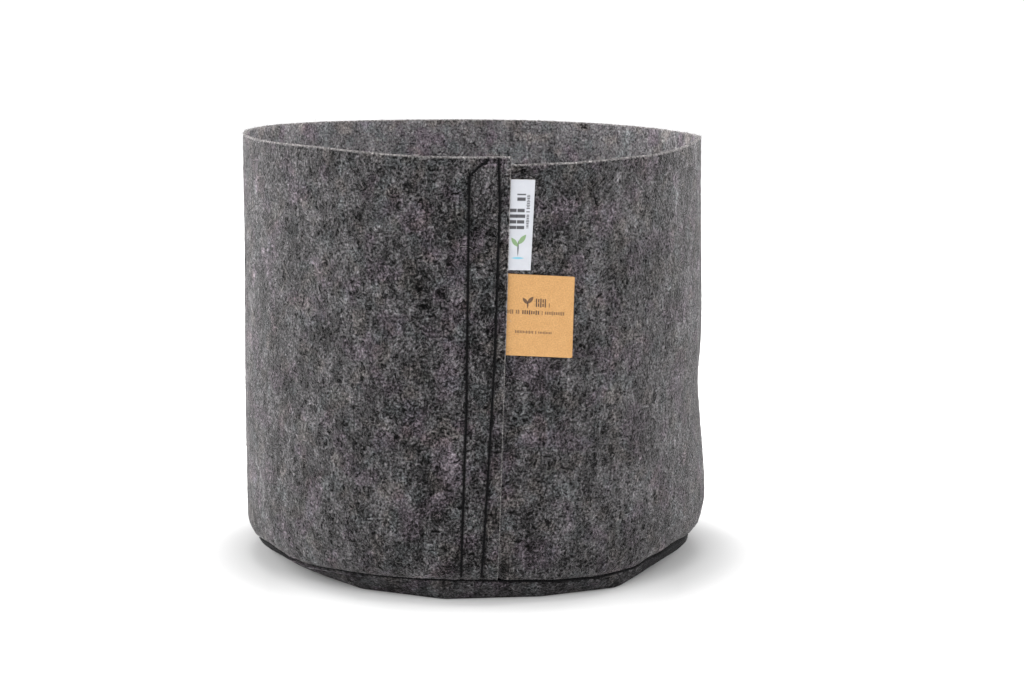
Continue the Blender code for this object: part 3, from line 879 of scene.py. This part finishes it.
def mark_groups():
    """Two node groups for woven or printed marks: a row of small blocks, and a pointed leaf."""
    row, given = node_group("row_of_blocks",
                            [(name, "Float") for name in ("Across", "Down", "Start", "End", "Middle",
                                                          "Height", "Pitch")], [("Mask", "Float")])
    count = maths(row, "DIVIDE", given["Across"], given["Pitch"])
    cell = maths(row, "FLOOR", count)
    centre = maths(row, "SUBTRACT", maths(row, "FRACT", count), 0.5)
    chance = add_node(row, "ShaderNodeTexWhiteNoise", {"W": cell}, noise_dimensions="1D").outputs["Value"]
    sideways = maths(row, "SUBTRACT", 0.36, maths(row, "ABSOLUTE", centre))
    sideways = maths(row, "DIVIDE", sideways, 0.12, clamp=True)
    tall = maths(row, "MULTIPLY", given["Height"], maths(row, "MULTIPLY_ADD", chance, 0.30, 0.36))
    above = maths(row, "ABSOLUTE", maths(row, "SUBTRACT", given["Down"], given["Middle"]))
    upright = maths(row, "DIVIDE", maths(row, "SUBTRACT", tall, above), 0.08, clamp=True)
    kept = maths(row, "GREATER_THAN", chance, 0.11)
    inside = maths(row, "MULTIPLY", maths(row, "GREATER_THAN", given["Across"], given["Start"]),
                   maths(row, "LESS_THAN", given["Across"], given["End"]))
    mask = maths(row, "MULTIPLY", maths(row, "MULTIPLY", sideways, upright),
                 maths(row, "MULTIPLY", kept, inside))
    row.links.new(mask, row.nodes.new("NodeGroupOutput").inputs["Mask"])

    leaf, given = node_group("pointed_leaf",
                             [(name, "Float") for name in ("Across", "Down", "Centre Across", "Centre Down",
                                                           "Turn", "Length", "Width")], [("Mask", "Float")])
    x = maths(leaf, "SUBTRACT", given["Across"], given["Centre Across"])
    y = maths(leaf, "SUBTRACT", given["Down"], given["Centre Down"])
    cosine = maths(leaf, "COSINE", given["Turn"])
    sine = maths(leaf, "SINE", given["Turn"])
    lengthwise = maths(leaf, "ADD", maths(leaf, "MULTIPLY", x, cosine), maths(leaf, "MULTIPLY", y, sine))
    sideways = maths(leaf, "SUBTRACT", maths(leaf, "MULTIPLY", y, cosine), maths(leaf, "MULTIPLY", x, sine))
    reach = maths(leaf, "DIVIDE", maths(leaf, "MULTIPLY", lengthwise, 2.0), given["Length"])
    half = maths(leaf, "MULTIPLY", given["Width"],
                 maths(leaf, "MULTIPLY_ADD", maths(leaf, "MULTIPLY", reach, reach), -0.5, 0.5))
    mask = maths(leaf, "DIVIDE", maths(leaf, "SUBTRACT", half, maths(leaf, "ABSOLUTE", sideways)), 0.10,
                 clamp=True)
    leaf.links.new(mask, leaf.nodes.new("NodeGroupOutput").inputs["Mask"])
    return row, leaf


row_of_blocks, pointed_leaf = mark_groups()


def mark(tree, group, values):
    """One mark on a tag, from the values of its group's sockets."""
    return add_node(tree, "ShaderNodeGroup", values, node_tree=group).outputs["Mask"]


def tag_place(tree, tag):
    """Millimetres across from the flap's edge and down from the top, on the tag's outer face."""
    cloth = add_node(tree, "ShaderNodeUVMap", uv_map="cloth").outputs[0]
    axes = add_node(tree, "ShaderNodeSeparateXYZ", {0: cloth}).outputs
    across = maths(tree, "MULTIPLY", maths(tree, "SUBTRACT", axes["X"], TAB_DEPTH), 1000.0)
    down = maths(tree, "MULTIPLY", maths(tree, "SUBTRACT", tag["height"], axes["Y"]), 1000.0)
    return cloth, across, down


def inked(tree, colour, ink, mask, strength):
    return mixed(tree, maths(tree, "MULTIPLY", mask, strength), colour, ink)


def block_rows(tree, colour, ink, way_along, way_off, rows):
    """Rows of blocks over a colour, from (start, end, middle, height, pitch, strength) in mm."""
    for start, end, middle, tall, pitch, strength in rows:
        mask = mark(tree, row_of_blocks, {"Across": way_along, "Down": way_off, "Start": start, "End": end,
                                          "Middle": middle, "Height": tall, "Pitch": pitch})
        colour = inked(tree, colour, ink, mask, strength)
    return colour


def leaf_marks(tree, colour, across, down, leaves):
    """Leaves over a colour, from (ink, middle across, middle down, degrees, length, width) in mm."""
    for ink, middle_across, middle_down, degrees, long, wide in leaves:
        mask = mark(tree, pointed_leaf, {"Across": across, "Down": down, "Centre Across": middle_across,
                                         "Centre Down": middle_down, "Turn": math.radians(degrees),
                                         "Length": long, "Width": wide})
        colour = inked(tree, colour, ink, mask, 0.85)
    return colour


def label_material():
    made, tree, shader = material("white_satin_ribbon", 0.55)
    cloth, across, down = tag_place(tree, LABEL)
    warp = maths(tree, "SINE", maths(tree, "MULTIPLY", across, 2 * math.pi / 0.22))
    weft = maths(tree, "SINE", maths(tree, "MULTIPLY", down, 2 * math.pi / 0.42))
    slub = soft_noise(tree, cloth, 900.0, 2.0)
    soil = soft_noise(tree, cloth, 140.0, 3.0)
    weave = maths(tree, "MULTIPLY_ADD", maths(tree, "MULTIPLY", warp, 0.35), 1.0,
                  maths(tree, "MULTIPLY_ADD", weft, 0.5, slub))
    white_yarn = mixed(tree, soil, (0.54, 0.555, 0.60, 1), (0.635, 0.65, 0.695, 1))
    colour = scaled(tree, white_yarn, maths(tree, "MULTIPLY_ADD", weave, 0.035, 0.97))
    black, green, blue, scorched = ((0.022, 0.020, 0.026, 1), (0.16, 0.30, 0.09, 1), (0.12, 0.50, 0.66, 1),
                                    (0.20, 0.13, 0.075, 1))
    # three rows of blocks run down the ribbon, and a sprout with two leaves stands below them
    colour = block_rows(tree, colour, black, down, across, (
        (12.0, 25.5, 1.9, 3.6, 2.9, 0.93), (7.4, 25.5, 6.0, 3.6, 2.9, 0.93),
        (8.0, 25.0, 9.6, 1.5, 0.85, 0.93)))
    colour = leaf_marks(tree, colour, across, down, (
        (black, 5.2, 35.2, 90, 9.0, 0.9), (green, 7.2, 30.8, -52, 6.6, 2.5),
        (green, 3.3, 32.2, 232, 6.0, 2.3), (blue, 5.2, 40.3, 0, 7.4, 1.1)))
    scorch = maths(tree, "DIVIDE", maths(tree, "SUBTRACT", 0.30, down), 0.22, clamp=True)
    colour = inked(tree, colour, scorched, scorch, 0.75)
    tree.links.new(colour, shader.inputs["Base Color"])
    roughen(tree, shader, weave, strength=0.35, distance=0.00006)
    shader.inputs["Sheen Weight"].default_value = 0.15
    return made


def tag_piece(name, sheet, thickness, finish, joint_name, nodes):
    piece, _, _ = shell(name, sheet, thickness, False)
    piece.data.materials.append(finish)
    middle, _, out = fold_line(joint_name)
    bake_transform(piece)
    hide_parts(*nodes)
    return piece


ribbon = tag_piece("woven_label_ribbon", label_sheet(), RIBBON, label_material(),
                   "label_fold", ("woven_label_tab", "woven_label_flag"))

# ---------------------------------------------------------------------------------------------
# Kraft card: stiff unbleached card cut square, printed on its outer face in dark brown ink. Its
# left edge is caught in the lap with the label, and it swings on a crease beside the flap.
# ---------------------------------------------------------------------------------------------
CARD = {"top": 0.1740, "height": 0.0420, "width": 0.0351, "thickness": 0.0004}
CARD_CORNER = 0.0006
CARD_ASKEW = 0.0013


def card_sheet():
    across, rise = np.meshgrid(np.linspace(-TAB_DEPTH, CARD["width"], 90),
                               np.linspace(0, CARD["height"], 80), indexing="ij")
    # the free corners are worn round, and the card bows a little across its width
    to_side = CARD["width"] - across
    beside = np.clip(1 - to_side / (2 * CARD_CORNER), 0, 1) ** 2
    for end, way in ((rise, 1), (CARD["height"] - rise, -1)):
        worn = beside * np.clip(1 - end / (6 * CARD_CORNER), 0, 1)
        rise = rise + way * worn * CARD_CORNER * 0.6
    free = np.clip(across / CARD["width"], 0, 1)
    bow = 0.00045 * np.sin(free * math.pi) * np.sin(rise / CARD["height"] * 2.2 + 0.4)
    bow = bow + 0.00025 * free * np.cos(rise / CARD["height"] * 5.0)
    # it was sewn in a little askew and hangs lower at its free side
    rise = rise + CARD_ASKEW * (0.5 - np.clip(across, 0, 1) / CARD["width"])
    return tag_point(CARD, fold_line("card_fold"), across, rise, bow + CARD["thickness"] / 2)


def kraft_material():
    made, tree, shader = material("kraft_board", 0.82)
    cloth, across, down = tag_place(tree, CARD)

    def grain(scale, detail, stretch=1.0):
        laid = add_node(tree, "ShaderNodeMapping", {"Vector": cloth, "Scale": (1.0, stretch, 1.0)})
        return soft_noise(tree, laid.outputs[0], scale, detail)

    pulp = grain(1500.0, 2.0)
    cloudy = grain(220.0, 3.0)
    fibre = grain(700.0, 1.0, 4.0)
    board = mixed(tree, cloudy, (0.545, 0.295, 0.108, 1), (0.630, 0.355, 0.142, 1))
    mottle = add_node(tree, "ShaderNodeMapRange", {"Value": pulp, "From Min": 0.30, "From Max": 0.70,
                                                   "To Min": 0.88, "To Max": 1.10}).outputs[0]
    colour = scaled(tree, board, mottle)
    dark_fibre = maths(tree, "DIVIDE", maths(tree, "SUBTRACT", fibre, 0.64), 0.06, clamp=True)
    colour = inked(tree, colour, (0.36, 0.19, 0.085, 1), dark_fibre, 0.35)
    ink = (0.060, 0.032, 0.026, 1)
    # rows of blocks: a short pair beside the leaf mark, a long row with a bolder middle, a fine row
    colour = block_rows(tree, colour, ink, across, down, (
        (14.6, 20.4, 13.2, 1.9, 1.15, 0.95), (14.6, 22.4, 15.4, 1.9, 1.15, 0.95),
        (0.4, 7.0, 19.4, 1.9, 0.95, 0.80), (7.9, 17.6, 19.4, 2.0, 1.15, 0.97),
        (18.4, 30.2, 19.4, 1.8, 0.95, 0.80), (4.8, 24.0, 29.6, 1.3, 0.80, 0.80)))
    colour = leaf_marks(tree, colour, across, down, (
        (ink, 12.3, 13.1, -50, 5.0, 2.1), (ink, 9.7, 13.6, 228, 4.4, 1.9), (ink, 11.0, 15.6, 90, 4.0, 0.9)))
    cut = add_node(tree, "ShaderNodeAttribute", attribute_name="cut").outputs["Fac"]
    colour = inked(tree, colour, (0.42, 0.235, 0.105, 1), cut, 0.5)
    tree.links.new(colour, shader.inputs["Base Color"])
    roughen(tree, shader, pulp, strength=0.15, distance=0.00006)
    return made


tag_piece("kraft_card_tag", card_sheet(), CARD["thickness"], kraft_material(),
          "card_fold", ("kraft_card_tab", "kraft_card_flag"))

# ---------------------------------------------------------------------------------------------
# Loose fibres: recycled fibres that have worked out of the felt. Most lie along its face, some
# stand up, and they are thickest along the cut rim and the flap's raw edge.
# ---------------------------------------------------------------------------------------------
FIBRE_STATIONS = 4


def fibre_strands(starts, normals, rng, length, lift, thickness, lean=0.0, heading=None, pale=0.0):
    """Points (fibre, station, xyz), radii and shades of curly fibres that start on a face. heading is
    the way that most of them run, lean is how far they stand up, and pale shifts their shades."""
    count = len(starts)
    t = np.linspace(0, 1, FIBRE_STATIONS)[None, :]
    helper = rng.normal(size=(count, 3))
    if heading is not None:
        helper = heading + 0.55 * helper
    tangent = helper - normals * (helper * normals).sum(1, keepdims=True)
    tangent /= np.linalg.norm(tangent, axis=1, keepdims=True)
    other = np.cross(normals, tangent)
    long = rng.uniform(*length, (count, 1))
    curl = rng.normal(0, 0.42, (count, 1))
    wave = rng.normal(0, 0.16, (count, 1))
    ahead = long * t
    aside = long * (curl * t ** 2 + wave * np.sin(t * math.pi * 2))
    high = rng.uniform(*lift, (count, 1))
    up = -0.00008 + high * (np.sin(t * math.pi * rng.uniform(0.55, 1.0, (count, 1))) + lean * t)
    points = starts[:, None] + sum(way[:, None] * far_along[..., None] for way, far_along in
                                   ((tangent, ahead), (other, aside), (normals, up)))
    radii = rng.uniform(*thickness, (count, 1)) * (1 - 0.35 * np.abs(2 * t - 1) ** 2)
    shades = np.clip(pale + (1 - pale) * rng.uniform(0, 1, count) ** 1.35, 0, 1)
    return points, radii, shades


def fibre_piece(name, batches, rng):
    """One piece of three-sided closed fibres, each with its own shade between dark and pale."""
    points = np.concatenate([b[0] for b in batches])
    radii = np.concatenate([b[1] for b in batches])
    count = len(points)
    ahead = np.gradient(points, axis=1)
    ahead /= np.linalg.norm(ahead, axis=-1, keepdims=True)
    side = np.cross(ahead, rng.normal(size=(count, 1, 3)))
    side /= np.linalg.norm(side, axis=-1, keepdims=True)
    other = np.cross(ahead, side)
    turn = np.arange(3) * 2 * math.pi / 3
    ring = (side[:, :, None, :] * np.cos(turn)[:, None] + other[:, :, None, :] * np.sin(turn)[:, None])
    verts = points[:, :, None, :] + ring * radii[:, :, None, None]
    first = np.arange(count)[:, None, None] * FIBRE_STATIONS * 3
    station = np.arange(FIBRE_STATIONS - 1)[None, :, None] * 3
    k = np.arange(3)[None, None, :]
    a = first + station + k
    b = first + station + (k + 1) % 3
    faces = np.stack([a, b, b + 3, a + 3], -1).reshape(-1, 4).tolist()
    ends = first[:, 0, 0]
    last = ends + (FIBRE_STATIONS - 1) * 3
    faces += np.stack([ends + 2, ends + 1, ends], -1).tolist()
    faces += np.stack([last, last + 1, last + 2], -1).tolist()
    mesh = bpy.data.meshes.new(name)
    mesh.from_pydata(verts.reshape(-1, 3).tolist(), [], faces)
    shade = np.repeat(np.concatenate([b[2] for b in batches]), FIBRE_STATIONS * 3)
    mesh.attributes.new("shade", "FLOAT", "POINT").data.foreach_set("value", shade.astype(np.float32))
    mesh.shade_smooth()
    mesh.materials.append(fibre_finish)
    piece = in_scene(name, mesh)
    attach(piece, "bag")
    return piece


def fibre_material():
    made, tree, shader = material("loose_fibre", 0.85)
    shade = add_node(tree, "ShaderNodeAttribute", attribute_name="shade").outputs["Fac"]
    tones = add_node(tree, "ShaderNodeValToRGB", {"Fac": shade})
    ramp = tones.color_ramp
    ramp.elements[0].position = 0.0
    ramp.elements[0].color = (0.012, 0.011, 0.013, 1)
    ramp.elements[1].position = 1.0
    ramp.elements[1].color = (0.42, 0.39, 0.385, 1)
    for position, tone in ((0.28, (0.040, 0.036, 0.040, 1)), (0.62, (0.14, 0.13, 0.135, 1)),
                           (0.90, (0.27, 0.25, 0.255, 1))):
        ramp.elements.new(position).color = tone
    place = add_node(tree, "ShaderNodeTexCoord").outputs["Object"]
    uneven = soft_noise(tree, place, 900.0, 1.0, dimensions="3D")
    colour = scaled(tree, tones.outputs["Color"], maths(tree, "ADD", uneven, 0.5))
    tree.links.new(colour, shader.inputs["Base Color"])
    shader.inputs["Sheen Weight"].default_value = 0.2
    shader.inputs["Specular IOR Level"].default_value = 0.2
    return made


fibre_finish = fibre_material()


def on_sheet(face, normals, columns, rows):
    """Points and normals of a grid at fractional columns and rows."""
    c = np.clip(columns.astype(int), 0, face.shape[0] - 2)
    r = np.clip(rows.astype(int), 0, face.shape[1] - 2)
    u, v = (columns - c)[:, None], (rows - r)[:, None]
    found = [(a[c, r] * (1 - u) + a[c + 1, r] * u) * (1 - v)
             + (a[c, r + 1] * (1 - u) + a[c + 1, r + 1] * u) * v for a in (face, normals)]
    return found[0], found[1] / np.linalg.norm(found[1], axis=1, keepdims=True)


# how many fibres of each kind, and the least and greatest radius of the fine and coarse ones
LYING, STANDING, ON_RIM, INSIDE, ON_FLAP_EDGE, ON_BASE = 4200, 600, 1900, 600, 500, 900
FINE, COARSE = (0.00004, 0.00008), (0.00005, 0.00008)
ROW_PATH = 1.2                 # degrees on both sides of a stitch row that stay clear of fibres
BASE_SIDE = (18, 26)           # the rings of the base panel that make its side
rng = np.random.default_rng(20)
wall_normals = sheet_normals(wall_outer)
# single long fibres that catch the eye, (angle, height, shade from dark to pale)
STRAYS = [
    (17.5, 0.2010, 0.0), (18.5, 0.1935, 0.0), (20.5, 0.1850, 0.0), (21.5, 0.1842, 0.0),
    (-3.2, 0.1890, 1.0), (-34.4, 0.0880, 1.0), (-35.5, 0.0865, 0.9), (-41.8, 0.0370, 1.0),
    (-12.0, 0.1420, 0.9), (31.0, 0.0690, 0.0), (47.0, 0.1440, 1.0), (36.0, 0.1130, 0.0),
]


def wall_spots(count, lowest=0.018, highest=0.2300):
    """Evenly spread (column, row) places on the wall."""
    column = np.interp(rng.uniform(strip[0], strip[-1], count), strip, np.arange(len(strip)))
    row = np.interp(rng.uniform(lowest, highest, count), heights, np.arange(len(heights))) + len(LIP_SHARES)
    return column, row


def rim_spots(count):
    column = np.interp(rng.uniform(strip[0], strip[-1], count), strip, np.arange(len(strip)))
    return column, np.full(count, wall_outer.shape[1] - 1.001)


def seen_layer(points, normals, columns):
    """Leaves out the inner layer of the lap, which the flap covers, and a clear path for the rows."""
    hidden = np.interp(columns, np.arange(len(strip)), strip) < FLAP_EDGE[1][1] + 1
    angle = np.degrees(np.arctan2(points[:, 0], -points[:, 1]))
    for row in (LEFT_ROW, RIGHT_ROW):
        hidden |= np.abs(angle - along(row, points[:, 2])) < ROW_PATH
    return points[~hidden], normals[~hidden]


columns, rows = wall_spots(LYING)
starts, normals = seen_layer(*on_sheet(wall_outer, wall_normals, columns, rows), columns)
lying = fibre_strands(starts, normals, rng, length=(0.0012, 0.0050), lift=(0.0001, 0.0003),
                      thickness=FINE)
columns, rows = wall_spots(STANDING)
starts, normals = seen_layer(*on_sheet(wall_outer, wall_normals, columns, rows), columns)
standing = fibre_strands(starts, normals, rng, length=(0.0008, 0.0024), lift=(0.0002, 0.0007),
                         thickness=(0.00003, 0.00005), lean=0.3)
at, up, tone = np.array(STRAYS).T
stray_starts = spot(at, wall_face(at, up, at + 360 * (at < FLAP_EDGE[1][1]))[0] + 0.0003, up)
stray_points, stray_radii, _ = fibre_strands(stray_starts, spot(at, 1.0, 0.0), rng,
                                             length=(0.0050, 0.0090), lift=(0.0001, 0.0003),
                                             thickness=(0.00009, 0.00014))
strays = (stray_points, stray_radii, tone)
fibre_piece("loose_fibres_of_wall", [lying, standing, strays], rng)

columns, rows = rim_spots(ON_RIM)
rim_normals = np.tile([0.0, 0.0, 1.0], (ON_RIM, 1)) + 0.5 * rng.normal(size=(ON_RIM, 3))
rim_normals /= np.linalg.norm(rim_normals, axis=1, keepdims=True)
outer_rim, _ = on_sheet(wall_outer, wall_normals, columns, rows)
inner_rim, _ = on_sheet(wall_inner, wall_normals, columns, rows)
rim_starts = outer_rim + (inner_rim - outer_rim) * rng.uniform(0, 1, (ON_RIM, 1)) ** 1.5 + [0, 0, 0.0002]
rim_way = np.cross([0.0, 0.0, 1.0], outer_rim) / LAP_RADIUS
rim_fuzz = fibre_strands(rim_starts, rim_normals, rng, length=(0.0006, 0.0018), lift=(0.0001, 0.00025),
                         thickness=FINE, lean=0.1, heading=rim_way, pale=0.45)
columns, rows = wall_spots(INSIDE, 0.120, 0.2300)
starts, normals = on_sheet(wall_inner, -wall_normals, columns, rows)
inner_fuzz = fibre_strands(starts, normals, rng, length=(0.0015, 0.0050), lift=(0.0001, 0.0006),
                           thickness=COARSE)
edge_rows = np.interp(rng.uniform(0.014, 0.2300, ON_FLAP_EDGE), heights, np.arange(len(heights)))
starts, normals = on_sheet(wall_outer, wall_normals, np.full(ON_FLAP_EDGE, len(strip) - 1.001),
                           edge_rows + len(LIP_SHARES))
beside_tags = (starts[:, 2] > CARD["top"] - CARD["height"] - 0.002) & (starts[:, 2] < LABEL["top"] + 0.002)
starts, normals = starts[~beside_tags], normals[~beside_tags]
edge_fuzz = fibre_strands(starts, normals, rng, length=(0.0010, 0.0030), lift=(0.0001, 0.0004),
                          thickness=COARSE, heading=np.tile([0.0, 0.0, 1.0], (len(starts), 1)))
# the base's fibres grow on the rings of its side, and none where the gap stands open
base_columns = rng.uniform(0, base_outer.shape[0] - 1.001, ON_BASE)
base_rings = rng.uniform(*BASE_SIDE, ON_BASE)
starts, normals = on_sheet(base_outer, sheet_normals(base_outer), base_columns, base_rings)
shut = np.interp(base_columns, np.arange(len(gap_open)), gap_open[:, 0]) < 0.3
starts, normals = starts[shut], normals[shut]
base_fuzz = fibre_strands(starts, normals, rng, length=(0.0010, 0.0040), lift=(0.0001, 0.0004),
                          thickness=COARSE)
fibre_piece("loose_fibres_of_edges", [rim_fuzz, inner_fuzz, edge_fuzz, base_fuzz], rng)
